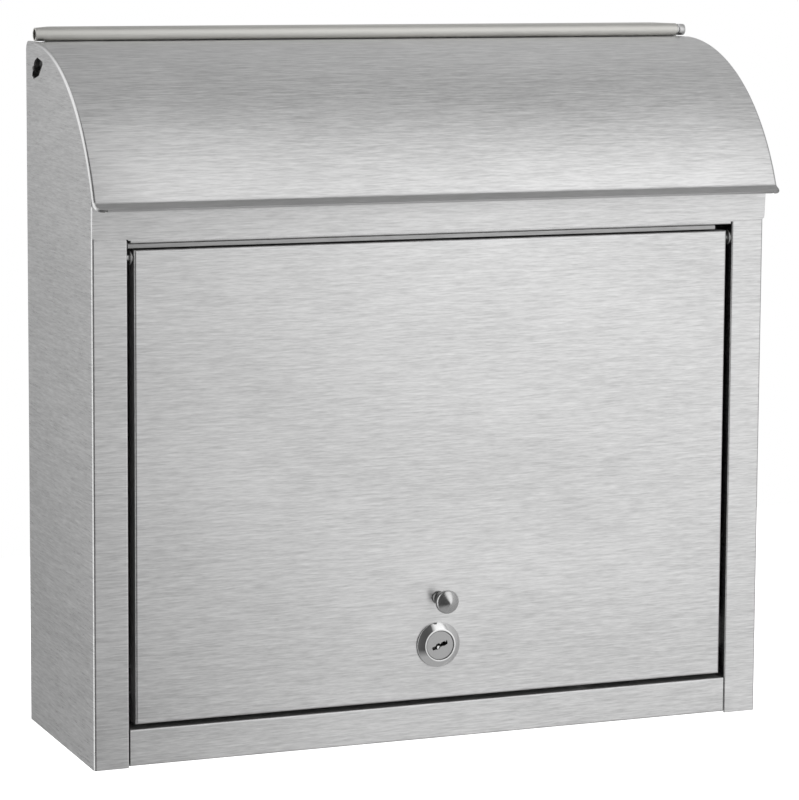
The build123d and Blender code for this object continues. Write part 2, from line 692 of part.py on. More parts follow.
def cam_screw():
    """Slotted screw that clamps the cam on the plug's end."""
    y0 = CAM_Y + CAM_THICK + CAM_WASHER
    head = rod_y(y0, y0 + 2.2, 0, LOCK_Z, 3.9)
    head -= block(-3, 3, y0 + 1.4, y0 + 3.2, LOCK_Z - 0.6, LOCK_Z + 0.6)
    return head + rod_y(-111.5, y0, 0, LOCK_Z, CAM_SCREW_R)


def cam_washer():
    y0 = CAM_Y + CAM_THICK
    ring = rod_y(y0, y0 + CAM_WASHER, 0, LOCK_Z, CAM_WASHER_R)
    return ring - rod_y(y0 - 1, y0 + 2, 0, LOCK_Z, CAM_SCREW_R)


os.makedirs("parts", exist_ok=True)

left_panel = left_side()
put("left_side_panel", left_panel)
put("right_side_panel", mirrored(left_panel))
put("back_panel", back_panel())
put("hinge_strip", hinge_strip())
put("bottom_panel", bottom_panel())
put("top_rail", top_rail())
put("door_gap_strip", door_gap_strip())
put("lid_shell", lid_shell())
put("lid_hinge_rod", lid_hinge_rod())
ear = left_ear()
put("left_lid_ear", ear)
put("right_lid_ear", mirrored(ear))
put("lid_stop_pins", lid_stop_pins())
put("lid_bumpers", lid_bumpers())
put("door_panel", door_panel())
put("door_pivot_pins", door_pivot_pins())
put("door_pivot_washers", door_pivot_washers())
put("door_pivot_clips", door_pivot_clips())
put("door_stop_tabs", door_stop_tabs())
put("door_stop_pads", door_stop_pads())
put("knob", knob())
put("knob_screw", knob_screw())
put("knob_washer", knob_washer())
put("lock_body", lock_body())
put("lock_washer", lock_washer())
put("lock_nut", lock_nut())
put("lock_plug", lock_plug())
put("lock_cam", lock_cam())
put("cam_screw", cam_screw())
put("cam_washer", cam_washer())
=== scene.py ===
"""Looks of a wall mounted letter box in brushed stainless sheet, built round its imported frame."""

import json
import logging
import math
from dataclasses import dataclass, field
from enum import Enum
from typing import Any, Sequence

import bmesh
import bpy
from mathutils import Euler, Matrix, Vector


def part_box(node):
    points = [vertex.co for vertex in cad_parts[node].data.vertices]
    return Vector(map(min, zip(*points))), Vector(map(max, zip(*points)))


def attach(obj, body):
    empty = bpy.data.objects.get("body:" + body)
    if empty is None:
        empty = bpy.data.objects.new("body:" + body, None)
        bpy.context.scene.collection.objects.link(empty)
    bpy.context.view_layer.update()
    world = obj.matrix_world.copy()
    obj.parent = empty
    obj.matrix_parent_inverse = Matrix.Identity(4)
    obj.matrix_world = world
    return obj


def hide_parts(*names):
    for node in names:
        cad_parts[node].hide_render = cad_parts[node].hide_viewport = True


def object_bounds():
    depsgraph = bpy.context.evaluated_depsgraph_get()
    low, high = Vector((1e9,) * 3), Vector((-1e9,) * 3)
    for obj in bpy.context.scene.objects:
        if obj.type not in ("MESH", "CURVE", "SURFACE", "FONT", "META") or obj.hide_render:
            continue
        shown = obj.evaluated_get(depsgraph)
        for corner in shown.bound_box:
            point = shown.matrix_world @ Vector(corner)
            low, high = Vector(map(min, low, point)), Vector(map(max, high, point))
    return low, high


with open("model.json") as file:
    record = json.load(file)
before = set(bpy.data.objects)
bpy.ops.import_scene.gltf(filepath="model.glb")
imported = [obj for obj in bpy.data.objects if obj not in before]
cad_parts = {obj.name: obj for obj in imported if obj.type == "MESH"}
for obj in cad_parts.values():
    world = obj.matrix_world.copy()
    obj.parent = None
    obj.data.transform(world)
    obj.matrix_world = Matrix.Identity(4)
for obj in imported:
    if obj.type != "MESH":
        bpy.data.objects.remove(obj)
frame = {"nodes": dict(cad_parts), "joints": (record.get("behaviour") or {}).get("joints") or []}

LOG = logging.getLogger("letter_box")
MM = 0.001
DROP = -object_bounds()[0].z / MM  # height of the wall screws over the underside, mm

SHEET_CREASE = 35.0  # edges sharper than this many degrees stay sharp
SOLID_CREASE = 30.0
TURNED_CREASE = 28.0
ROLL_STEPS = 8  # runs round a rolled side edge
ROLL_START = 10.0  # degrees of that roll that are left flat
NECK_STEP = 0.02  # run over which the lid steps in to its neck, mm
CUT_LEAD = 2.0  # how far a cutter stands out of the face that it cuts, mm
LIP_STEPS = (0.0, 0.04, 0.09, 0.15, 0.22, 0.30, 0.40, 0.5, 0.62, 0.8)
CURVE_TOP = 2.0  # highest result that a float curve is used for
NOISE_RANGE = (0.3, 0.7)  # values between which most of a noise lies
STREAK_RANGE = (0.36, 0.64)
EDGE_WEAR_AND_SHEEN_RANGE = (0.995, 0.90)  # agreement of the true and the rounded normal, off and on an edge that is lightened partly for wear and partly as painted highlight
FINE_RELIEF = 0.01 * MM
CLOUD_STRETCH = (7.0, 18.0)
BRUSH_LAYERS = (  # stretch along, stretch across, weight of the finer octaves, share of the streak
    (45.0, 760.0, 0.5, 0.36),
    (125.0, 1500.0, 0.6, 0.46),
    (260.0, 5200.0, 0.6, 0.18),
)
WHITE = (1.0, 1.0, 1.0, 1.0)

Point2 = tuple[float, float]
Point3 = tuple[float, float, float]
Material = bpy.types.Material
Piece = bpy.types.Object


class Grain(Enum):
    """Direction in which a sheet was brushed."""

    ALONG_X = "along_x"
    ALONG_Y = "along_y"


class Axis(Enum):
    """Line about which a piece is turned."""

    ALONG_X = "along_x"
    TO_FRONT = "to_front"


# ---------------------------------------------------------------------------
# materials
# ---------------------------------------------------------------------------


class Graph:
    """A material's node tree with short ways to add and join nodes."""

    def __init__(self, name: str) -> None:
        """Start an empty material with a surface shader.

        Args:
            name: name of the material.
        """
        self.material = bpy.data.materials.new(name)
        self.material.use_nodes = True
        self.tree = self.material.node_tree
        self.tree.nodes.clear()
        self.shader = self.add("ShaderNodeBsdfPrincipled")
        output = self.add("ShaderNodeOutputMaterial")
        self.join(self.shader.outputs["BSDF"], output.inputs["Surface"])

    @classmethod
    def on_tree(cls, tree: bpy.types.NodeTree) -> "Graph":
        """Wrap a node tree that has no shader of its own.

        Args:
            tree: the node tree.

        Returns:
            A graph that adds its nodes to the tree.
        """
        graph = cls.__new__(cls)
        graph.tree = tree
        return graph

    def add(self, kind: str, **settings: Any) -> bpy.types.Node:
        """Add a node and set its own properties.

        Args:
            kind: Blender's node type.
            settings: properties to set on the node.

        Returns:
            The new node.
        """
        node = self.tree.nodes.new(kind)
        for key, value in settings.items():
            setattr(node, key, value)
        return node

    def join(self, source: Any, target: Any) -> None:
        """Link an output to an input."""
        self.tree.links.new(source, target)

    def number(self, operation: str, a: Any, b: Any = None, clamp: bool = False) -> Any:
        """One arithmetic step.

        Args:
            operation: Math node operation.
            a: socket or number.
            b: socket or number.
            clamp: keep the result between 0 and 1.

        Returns:
            The result's socket.
        """
        node = self.add("ShaderNodeMath", operation=operation, use_clamp=clamp)
        for index, value in enumerate((a, b)):
            if value is None:
                continue
            if isinstance(value, (int, float)):
                node.inputs[index].default_value = value
            else:
                self.join(value, node.inputs[index])
        return node.outputs[0]

    def spread(self, value: Any, low: float, high: float, to_low: float, to_high: float) -> Any:
        """Map a value from one range to another, clamped.

        Args:
            value: socket to map.
            low: start of the source range.
            high: end of the source range.
            to_low: result at low.
            to_high: result at high.

        Returns:
            The result's socket.
        """
        node = self.add("ShaderNodeMapRange")
        self.join(value, node.inputs["Value"])
        ends = (("From Min", low), ("From Max", high), ("To Min", to_low), ("To Max", to_high))
        for key, number in ends:
            node.inputs[key].default_value = number
        return node.outputs["Result"]

    def between(self, noise: Any, low: float, high: float) -> Any:
        """Map the usual range of a noise onto low to high."""
        return self.spread(noise, *NOISE_RANGE, low, high)

    def curve(self, value: Any, stops: Sequence[Point2]) -> Any:
        """A smooth curve through stops, for results up to 2.

        Args:
            value: socket to look up.
            stops: (value, result) pairs in rising order.

        Returns:
            The result's socket.
        """
        low, high = stops[0][0], stops[-1][0]
        node = self.add("ShaderNodeFloatCurve")
        self.join(self.spread(value, low, high, 0.0, 1.0), node.inputs["Value"])
        line = node.mapping.curves[0]
        points = [((at - low) / (high - low), result / CURVE_TOP) for at, result in stops]
        line.points[0].location = points[0]
        line.points[-1].location = points[-1]
        for point in points[1:-1]:
            line.points.new(*point)
        node.mapping.update()
        return self.number("MULTIPLY", node.outputs["Value"], CURVE_TOP)

    def blend(self, factor: Any, a: Any, b: float) -> Any:
        """Blend from a socket to a number.

        Args:
            factor: socket from 0 to 1.
            a: socket at 0.
            b: number at 1.

        Returns:
            The result's socket.
        """
        mix = self.add("ShaderNodeMix", data_type="FLOAT")
        self.join(factor, mix.inputs[0])
        self.join(a, mix.inputs[2])
        mix.inputs[3].default_value = b
        return mix.outputs[0]

    def stretched_noise(self, stretch: Point3, detail: float, roughness: float = 0.6) -> Any:
        """Noise drawn out along an axis.

        Args:
            stretch: factor on each axis of the object's own coordinates, per metre.
            detail: octaves.
            roughness: weight of the finer octaves.

        Returns:
            The noise value's socket.
        """
        place = self.add("ShaderNodeTexCoord")
        mapping = self.add("ShaderNodeMapping")
        mapping.inputs["Scale"].default_value = stretch
        self.join(place.outputs["Object"], mapping.inputs["Vector"])
        noise = self.add("ShaderNodeTexNoise")
        for key, value in (("Scale", 1.0), ("Detail", detail), ("Roughness", roughness)):
            noise.inputs[key].default_value = value
        self.join(mapping.outputs["Vector"], noise.inputs["Vector"])
        return noise.outputs["Fac"]

    def tint(self, factor: Any, dark: Point3, light: Point3) -> None:
        """Colour the shader between two colours by a factor.

        Args:
            factor: socket from 0 to 1.
            dark: colour at 0.
            light: colour at 1.
        """
        mix = self.add("ShaderNodeMix", data_type="RGBA")
        for socket, value in ((mix.inputs[6], dark), (mix.inputs[7], light)):
            socket.default_value = (*value, 1.0)
        self.join(factor, mix.inputs["Factor"])
        self.join(mix.outputs[2], self.shader.inputs["Base Color"])

    def edges_wear_and_sheen(self, radius: float) -> tuple[Any, Any]:
        """Rounded normal near sharp edges, and a mask that is 1 on them.

        Args:
            radius: rounding radius in metres.

        Returns:
            The normal's socket and the mask's socket.
        """
        soft = self.add("ShaderNodeBevel", samples=4)
        soft.inputs["Radius"].default_value = radius
        flat = self.add("ShaderNodeNewGeometry")
        dot = self.add("ShaderNodeVectorMath", operation="DOT_PRODUCT")
        self.join(soft.outputs["Normal"], dot.inputs[0])
        self.join(flat.outputs["Normal"], dot.inputs[1])
        return soft.outputs["Normal"], self.spread(dot.outputs["Value"], *EDGE_WEAR_AND_SHEEN_RANGE, 0.0, 1.0)

    def bump(self, height: Any, distance: float, strength: float, normal: Any = None) -> None:
        """Give the shader a relief.

        Args:
            height: height's socket, 0 to 1.
            distance: depth in metres at strength 1.
            strength: share of the effect.
            normal: normal to start from.
        """
        node = self.add("ShaderNodeBump")
        node.inputs["Strength"].default_value = strength
        node.inputs["Distance"].default_value = distance
        self.join(height, node.inputs["Height"])
        if normal is not None:
            self.join(normal, node.inputs["Normal"])
        self.join(node.outputs["Normal"], self.shader.inputs["Normal"])

    def skin(
        self,
        pattern: Any,
        tones: Point2,
        rough: Point2,
        edge_radius: float,
        edge_wear_and_sheen: float,
        relief: float = 0.4,
        top: float = 1.0,
    ) -> None:
        """Dress the shader as a metal whose grey, gloss and relief follow one pattern.

        Args:
            pattern: noise socket.
            tones: darkest and lightest grey.
            rough: lowest and highest roughness.
            edge_radius: rounding radius of the lightened edges in metres.
            edge_wear_and_sheen: how far the edges are lightened, partly for wear and partly as painted
                highlight.
            relief: strength of the relief.
            top: how near the lightest grey the pattern alone comes.
        """
        normal, edge = self.edges_wear_and_sheen(edge_radius)
        # the edges are lightened: partly wear, partly a painted highlight
        wear_and_sheen = self.number("MULTIPLY", edge, edge_wear_and_sheen)
        shade = self.number("ADD", self.between(pattern, 0.0, top), wear_and_sheen, clamp=True)
        self.tint(shade, (tones[0],) * 3, (tones[1],) * 3)
        self.shader.inputs["Metallic"].default_value = 1.0
        self.join(self.between(pattern, *rough), self.shader.inputs["Roughness"])
        self.bump(pattern, FINE_RELIEF, relief, normal)


@dataclass(frozen=True)
class BrushedSheet:
    """Stainless sheet with a long brush grain and polished cut edges, lightened partly for wear and partly
    as painted highlight.
    """

    name: str
    grain: Grain
    tone: float = 0.68
    warmth: float = 0.0
    contrast: float = 0.20
    clouding: float = 0.12
    roughness: float = 0.30
    # how far the edges are lightened, partly for wear and partly as painted highlight
    edge_wear_and_sheen: float = 0.9
    edge_polish: float = 0.10
    edge_radius: float = 0.35 * MM
    anisotropy: float = 0.85
    relief: float = 0.016 * MM

    def stretch(self, along: float, across: float) -> Point3:
        """Coordinate factors for this grain direction.

        Args:
            along: factor along the grain.
            across: factor across it.

        Returns:
            Factors on X, Y and Z.
        """
        if self.grain is Grain.ALONG_X:
            return along, across, across
        return across, along, across

    def shades(self) -> tuple[Point3, Point3]:
        """Darkest and lightest colour of the streaks.

        Returns:
            The two colours.
        """
        tints = (1 + self.warmth, 1 + 0.6 * self.warmth, 1 - self.warmth)
        dark = tuple(self.tone * (1 - self.contrast) * t for t in tints)
        light = tuple(self.tone * (1 + self.contrast) * t for t in tints)
        return dark, light

    def build(self) -> Material:
        """Make the material.

        Returns:
            The finished material.
        """
        g = Graph(self.name)
        streak = None
        for along, across, finer, share in BRUSH_LAYERS:
            layer = g.number("MULTIPLY", g.stretched_noise(self.stretch(along, across), 2.0, finer), share)
            streak = g.number("ADD", streak, layer) if streak else layer
        cloud = g.stretched_noise(self.stretch(*CLOUD_STRETCH), 2.0, 0.5)
        normal, edge = g.edges_wear_and_sheen(self.edge_radius)
        shade = g.spread(streak, *STREAK_RANGE, 0.0, 1.0)
        shade = g.number("ADD", shade, g.between(cloud, -self.clouding, self.clouding))
        # lighten the edges, partly for wear and partly as painted highlight
        shade = g.number("ADD", shade, g.number("MULTIPLY", edge, self.edge_wear_and_sheen), clamp=True)
        g.tint(shade, *self.shades())
        g.shader.inputs["Metallic"].default_value = 1.0
        rough = g.between(streak, self.roughness - 0.05, self.roughness + 0.06)
        rough = g.number("SUBTRACT", rough, g.number("MULTIPLY", edge, self.edge_polish))
        g.join(rough, g.shader.inputs["Roughness"])
        g.shader.inputs["Anisotropic"].default_value = self.anisotropy
        tangent = g.add("ShaderNodeTangent", direction_type="RADIAL")
        tangent.axis = "X" if self.grain is Grain.ALONG_X else "Y"
        g.join(tangent.outputs["Tangent"], g.shader.inputs["Tangent"])
        g.bump(streak, self.relief, 0.5, normal)
        return g.material


@dataclass(frozen=True)
class TurnedSteel:
    """Steel with fine rings left by the lathe."""

    name: str
    tone: float = 0.68
    roughness: float = 0.26
    ring_pitch: float = 0.25 * MM
    ring_stretch: float = 0.15
    contrast: float = 0.08

    def build(self) -> Material:
        """Make the material.

        Returns:
            The finished material.
        """
        g = Graph(self.name)
        per = 1.0 / self.ring_pitch
        rings = g.stretched_noise((per * self.ring_stretch, per, per * self.ring_stretch), 3.0, 0.5)
        tones = self.tone * (1 - self.contrast), self.tone * (1 + self.contrast)
        g.skin(rings, tones, (self.roughness - 0.05, self.roughness + 0.05), 0.2 * MM, 0.6)
        return g.material


@dataclass(frozen=True)
class PlatedMetal:
    """Bright or matt plating with a faint orange-peel surface."""

    name: str
    tone: float = 0.78
    roughness: float = 0.10
    speckle: float = 0.04
    grit: float = 2600.0

    def build(self) -> Material:
        """Make the material.

        Returns:
            The finished material.
        """
        g = Graph(self.name)
        peel = g.stretched_noise((self.grit,) * 3, 4.0)
        tones = self.tone * (1 - self.speckle), min(1.0, self.tone * (1 + self.speckle))
        g.skin(peel, tones, (self.roughness * 0.8, self.roughness * 1.25), 0.15 * MM, 0.5, relief=0.25)
        return g.material


@dataclass(frozen=True)
class MillSheet:
    """Unbrushed sheet as it comes from the mill: grey, dull and faintly mottled."""

    name: str
    tone: float = 0.36
    metal: float = 0.6
    roughness: float = 0.55
    grit: float = 420.0

    def build(self) -> Material:
        """Make the material.

        Returns:
            The finished material.
        """
        g = Graph(self.name)
        mottle = g.stretched_noise((self.grit,) * 3, 3.0, 0.55)
        tones = self.tone * 0.88, self.tone * 1.15
        g.skin(mottle, tones, (self.roughness - 0.06, self.roughness + 0.08), 0.25 * MM, 0.7, top=0.8)
        g.shader.inputs["Metallic"].default_value = self.metal
        return g.material


@dataclass(frozen=True)
class MattRubber:
    """Dark rubber with a fine moulded grain."""

    name: str
    tone: float = 0.03
    grit: float = 1800.0
    relief: float = 0.03 * MM

    def build(self) -> Material:
        """Make the material.

        Returns:
            The finished material.
        """
        g = Graph(self.name)
        grain = g.stretched_noise((self.grit,) * 3, 4.0)
        g.tint(grain, (self.tone,) * 3, (self.tone * 1.6,) * 3)
        g.join(g.between(grain, 0.6, 0.8), g.shader.inputs["Roughness"])
        g.bump(grain, self.relief, 0.5)
        return g.material


def made(finish: Any) -> Any:
    """Field of a set of finishes, filled with the finish's material."""
    return field(default_factory=finish.build)


@dataclass
class Finishes:
    """Every finish of the box, built once."""

    front_sheet: Material = made(
        BrushedSheet("brushed_front", Grain.ALONG_X, roughness=0.33, anisotropy=0.75)
    )
    side_sheet: Material = made(BrushedSheet("brushed_side", Grain.ALONG_Y))
    back_sheet: Material = made(BrushedSheet("plain_back", Grain.ALONG_X, contrast=0.06, roughness=0.42))
    # darker copy of the front sheet for the strip in the recess above the door: painted shade
    shaded_sheet: Material = made(BrushedSheet("shaded_strip", Grain.ALONG_X, tone=0.36))
    # darker copy of the front sheet for the lid's lip: painted shade on the lip facing down and forward
    lip_painted_shade_sheet: Material = made(
        BrushedSheet("lip_painted_shade", Grain.ALONG_X, tone=0.44, contrast=0.12, roughness=0.36)
    )
    mill_sheet: Material = made(MillSheet("mill_finish"))
    # near-black steel for the lid's ears and stop pins: painted shade seen through the slot
    painted_shade_steel: Material = made(PlatedMetal("painted_shade_steel", tone=0.10, roughness=0.5, speckle=0.1))
    cut_edge: Material = made(PlatedMetal("cut_edge", tone=0.62, roughness=0.34))
    rolled_steel: Material = made(
        BrushedSheet("rolled_strip", Grain.ALONG_X, tone=0.60, warmth=0.03, contrast=0.07, roughness=0.34)
    )
    rod_steel: Material = made(
        BrushedSheet("drawn_rod", Grain.ALONG_X, tone=0.60, contrast=0.06, roughness=0.28)
    )
    turned: Material = made(TurnedSteel("turned_steel", tone=0.62, roughness=0.20))
    # darker copy of the turned steel for the knob's stem: painted shade behind the head
    painted_shade_turned: Material = made(TurnedSteel("painted_shade_turned_steel", tone=0.26, roughness=0.24))
    washer: Material = made(PlatedMetal("dull_washer", tone=0.45, roughness=0.50, speckle=0.06))
    rim: Material = made(PlatedMetal("polished_rim", tone=0.84, roughness=0.08))
    plug: Material = made(PlatedMetal("matt_plug", tone=0.50, roughness=0.38, speckle=0.08))
    zinc: Material = made(PlatedMetal("zinc_plate", tone=0.66, roughness=0.24, speckle=0.07))
    rubber: Material = made(MattRubber("black_rubber"))


# ---------------------------------------------------------------------------
# mesh building
# ---------------------------------------------------------------------------


def joint_point(name: str) -> Point3:
    """Where a joint sits.

    Args:
        name: the joint.

    Returns:
        Its place in mm, height from the underside.
    """
    joint = next(j for j in frame["joints"] if j["name"] == name)
    x, y, z = (value / MM for value in joint["pos_m"])
    return x, y, z + DROP


def node_span(node: str) -> tuple[Vector, Vector]:
    """Corners of a frame node's box.

    Args:
        node: the node.

    Returns:
        Lowest and highest corner in mm, heights from the underside.
    """
    low, high = (Vector(corner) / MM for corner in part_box(node))
    lift = Vector((0.0, 0.0, DROP))
    return low + lift, high + lift


def spot(x: float, y: float, z: float) -> Vector:
    """Place in metres of a point in mm with its height from the underside."""
    return Vector((x * MM, y * MM, (z - DROP) * MM))


def arc_point(centre: Point2, radius: float, degrees: float) -> Point2:
    """Point on an arc in the side plane, its angle counted from +Y towards +Z."""
    a = math.radians(degrees)
    return centre[0] + radius * math.cos(a), centre[1] + radius * math.sin(a)


def arc_points(centre: Point2, radius: float, start: float, end: float, steps: int) -> list[Point2]:
    """Points on an arc in the side plane from one angle to another, one more than its steps."""
    return [arc_point(centre, radius, start + (end - start) * i / steps) for i in range(steps + 1)]


def spun(points: Sequence[Point2], degrees: float) -> list[Point2]:
    """Points turned about the origin."""
    a = math.radians(degrees)
    return [(x * math.cos(a) - z * math.sin(a), x * math.sin(a) + z * math.cos(a)) for x, z in points]


def rounded(points: Sequence[Point2], radius: float, steps: int = 5) -> list[Point2]:
    """Round the corners of an open path.

    Args:
        points: path points.
        radius: corner radius, reduced where the runs are short.
        steps: runs per corner.

    Returns:
        The rounded path.
    """
    path = [points[0]]
    for before, here, after in zip(points, points[1:], points[2:]):
        a = Vector(before) - Vector(here)
        b = Vector(after) - Vector(here)
        reach = min(radius, a.length * 0.45, b.length * 0.45)
        start = Vector(here) + a.normalized() * reach
        end = Vector(here) + b.normalized() * reach
        for i in range(steps + 1):
            t = i / steps
            mid = start * (1 - t) ** 2 + Vector(here) * 2 * t * (1 - t) + end * t**2
            path.append((mid.x, mid.y))
    path.append(points[-1])
    return path


def solid_profile(outline: Sequence[Point2], radius: float, steps: int) -> list[Point2]:
    """Round a turned solid's corners but for those next to its ends on the axis."""
    return [outline[0], *rounded(outline[1:-1], radius, steps), outline[-1]]


def to_mesh(name: str, work: bmesh.types.BMesh, closed: bool = True) -> bpy.types.Mesh:
    """Turn worked geometry into a mesh and free it.

    Args:
        name: mesh name.
        work: the geometry.
        closed: it is a closed solid, whose faces are to look outward.

    Returns:
        The mesh.
    """
    if closed:
        bmesh.ops.recalc_face_normals(work, faces=work.faces)
    mesh = bpy.data.meshes.new(name)
    work.to_mesh(mesh)
    work.free()
    return mesh


def shade_smooth(mesh: bpy.types.Mesh, crease: float) -> None:
    """Shade a mesh smooth, but for edges sharper than the crease in degrees."""
    mesh.polygons.foreach_set("use_smooth", [True] * len(mesh.polygons))
    mesh.set_sharp_from_angle(angle=math.radians(crease))


def finish_mesh(name: str, mesh: bpy.types.Mesh, material: Material, crease: float = SHEET_CREASE) -> Piece:
    """Turn a mesh into a shaded object.

    Args:
        name: object name.
        mesh: its mesh.
        material: its finish.
        crease: edges sharper than this many degrees stay sharp.

    Returns:
        The object, linked to the scene.
    """
    mesh.validate()
    mesh.update()
    piece = bpy.data.objects.new(name, mesh)
    bpy.context.scene.collection.objects.link(piece)
    mesh.materials.append(material)
    shade_smooth(mesh, crease)
    return piece


def bridge(work: bmesh.types.BMesh, loops: Sequence[Sequence[bmesh.types.BMVert]]) -> None:
    """Join neighbouring loops of points with faces.

    Args:
        work: geometry that holds the points.
        loops: loops of as many points each; a loop of one point is a tip.
    """
    for near, far in zip(loops, loops[1:]):
        count = max(len(near), len(far))
        for k in range(count):
            j = (k + 1) % count
            if len(near) == 1:
                work.faces.new((near[0], far[j], far[k]))
            elif len(far) == 1:
                work.faces.new((near[k], near[j], far[0]))
            else:
                work.faces.new((near[k], near[j], far[j], far[k]))


@dataclass
class Ribbon:
    """A folded sheet, drawn as rows that each run from a left to a right end."""

    name: str
    rows: list[tuple[float, float, float, float]] = field(default_factory=list)  # y, z, left, right in mm
    thickness: float = 1.0
    columns: int = 9
    roll: float = 0.0  # radius at which both sides of the sheet roll over

    def run(self, points: Sequence[Point2], left: float, right: float) -> None:
        """Append a row from left to right at each (y, z) point of a path."""
        self.rows.extend((y, z, left, right) for y, z in points)

    def inward(self, index: int) -> Point2:
        """Direction from a row's outer face into the sheet.

        Args:
            index: row number.

        Returns:
            Unit vector in the side plane.
        """
        before = self.rows[max(index - 1, 0)]
        after = self.rows[min(index + 1, len(self.rows) - 1)]
        run = Vector((after[0] - before[0], after[1] - before[1])).normalized()
        return run.y, -run.x

    def stations(self, left: float, right: float) -> list[Point2]:
        """Places along a row and how far each is sunk, so that the sides roll over.

        Args:
            left: left end of the row.
            right: right end of the row.

        Returns:
            (x, depth) pairs from left to right.
        """
        step = (right - left - 2 * self.roll) / (self.columns - 1)
        middle = [(left + self.roll + step * i, 0.0) for i in range(self.columns)]
        if not self.roll:
            return middle
        edge = []
        for i in range(ROLL_STEPS):
            turn = math.radians(ROLL_START + (90.0 - ROLL_START) * i / ROLL_STEPS)
            edge.append((self.roll * (1 - math.cos(turn)), self.roll * (1 - math.sin(turn))))
        row = [(left + x, sink) for x, sink in edge]
        return row + middle + [(right - x, sink) for x, sink in reversed(edge)]

    def build(self, material: Material, bevel: float, rim: Material | None = None) -> Piece:
        """Make the sheet with real thickness and broken edges.

        Args:
            material: finish.
            bevel: width of the broken edges in mm.
            rim: finish of the cut edges, if it differs.

        Returns:
            The object.
        """
        work = bmesh.new()
        grid = []
        for index, (y, z, left, right) in enumerate(self.rows):
            dy, dz = self.inward(index)
            places = [spot(x, y + dy * sink, z + dz * sink) for x, sink in self.stations(left, right)]
            grid.append([work.verts.new(place) for place in places])
        for upper, lower in zip(grid, grid[1:]):
            for i in range(len(upper) - 1):
                work.faces.new((upper[i], upper[i + 1], lower[i + 1], lower[i]))
        piece = finish_mesh(self.name, to_mesh(self.name, work, closed=False), material, 180.0)
        solid = piece.modifiers.new("thickness", "SOLIDIFY")
        solid.thickness = self.thickness * MM
        solid.offset = -1.0
        solid.use_even_offset = True
        if rim is not None:
            piece.data.materials.append(rim)
            solid.material_offset_rim = 1
        edge = piece.modifiers.new("broken_edges", "BEVEL")
        edge.width = bevel * MM
        edge.segments = 3
        edge.limit_method = "ANGLE"
        edge.angle_limit = math.radians(60)
        edge.harden_normals = True
        return piece


def lathe(
    name: str,
    profile: Sequence[Point2],
    centre: Point3,
    material: Material,
    axis: Axis = Axis.TO_FRONT,
    segments: int = 96,
) -> Piece:
    """Turn a profile about a line.

    Args:
        name: object name.
        profile: (radius, distance along the line) in mm, closed on itself or on the line.
        centre: point on the line at distance 0, mm, height from the underside.
        material: finish.
        axis: direction of the line.
        segments: facets round the line.

    Returns:
        The object.
    """
    work = bmesh.new()
    loops = []
    for radius, out in profile:
        loop = []
        for k in range(segments if radius else 1):
            a, b = arc_point((0.0, 0.0), radius, 360.0 * k / segments)
            place = (out, a, b) if axis is Axis.ALONG_X else (a, -out, b)
            loop.append(work.verts.new(Vector(place) * MM))
        loops.append(loop)
    bridge(work, loops)
    mesh = to_mesh(name, work)
    mesh.transform(Matrix.Translation(spot(*centre)))
    return finish_mesh(name, mesh, material, TURNED_CREASE)


def prism(name: str, outline: Sequence[Point2], centre: Point3, start: float, end: float) -> bpy.types.Mesh:
    """Straight-sided block along Y.

    Args:
        name: mesh name.
        outline: (x, z) outline in mm about the centre.
        centre: its middle in mm, height from the underside.
        start: where it begins along Y from the centre, mm.
        end: where it ends.

    Returns:
        The mesh.
    """
    work = bmesh.new()
    loops = [[work.verts.new((x * MM, y * MM, z * MM)) for x, z in outline] for y in (start, end)]
    bridge(work, loops)
    for loop in loops:
        work.faces.new(loop)
    mesh = to_mesh(name, work)
    mesh.transform(Matrix.Translation(spot(*centre)))
    return mesh


def cut_out(piece: Piece, outline: Sequence[Point2], centre: Point3, depth: float) -> None:
    """Cut a straight-sided recess into the front of a piece.

    Args:
        piece: object to cut.
        outline: (x, z) outline in mm about the centre.
        centre: middle of the recess's mouth, mm.
        depth: depth of the cut towards +Y in mm.
    """
    cutter = bpy.data.objects.new("cutter", prism("cutter", outline, centre, -CUT_LEAD, depth))
    bpy.context.scene.collection.objects.link(cutter)
    cut = piece.modifiers.new("cut", "BOOLEAN")
    cut.operation = "DIFFERENCE"
    cut.solver = "EXACT"
    cut.object = cutter
    bpy.context.view_layer.update()
    graph = bpy.context.evaluated_depsgraph_get()
    result = bpy.data.meshes.new_from_object(piece.evaluated_get(graph))
    piece.modifiers.clear()
    piece.data = result
    shade_smooth(result, TURNED_CREASE)
    bpy.data.objects.remove(cutter)


def dress(node: str, *materials: Material) -> bpy.types.Mesh:
    """Give a kept frame node its finishes.

    Args:
        node: the node.
        materials: its finishes, the first of them on every face.

    Returns:
        The node's mesh.
    """
    mesh = frame["nodes"][node].data
    mesh.materials.clear()
    for material in materials:
        mesh.materials.append(material)
    LOG.info("dressed %s", node)
    return mesh


def settle(piece: Piece, body: str, slot: str, *nodes: str) -> Piece:
    """Ride a piece on its body in place of frame nodes.

    Args:
        piece: the finished piece.
        body: body it moves with.
        slot: not used.
        nodes: frame nodes it stands for.

    Returns:
        The piece.
    """
    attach(piece, body)
    if nodes:
        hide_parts(*nodes)
    LOG.info("built %s", piece.name)
    return piece


# ---------------------------------------------------------------------------
# sub-assemblies
# ---------------------------------------------------------------------------


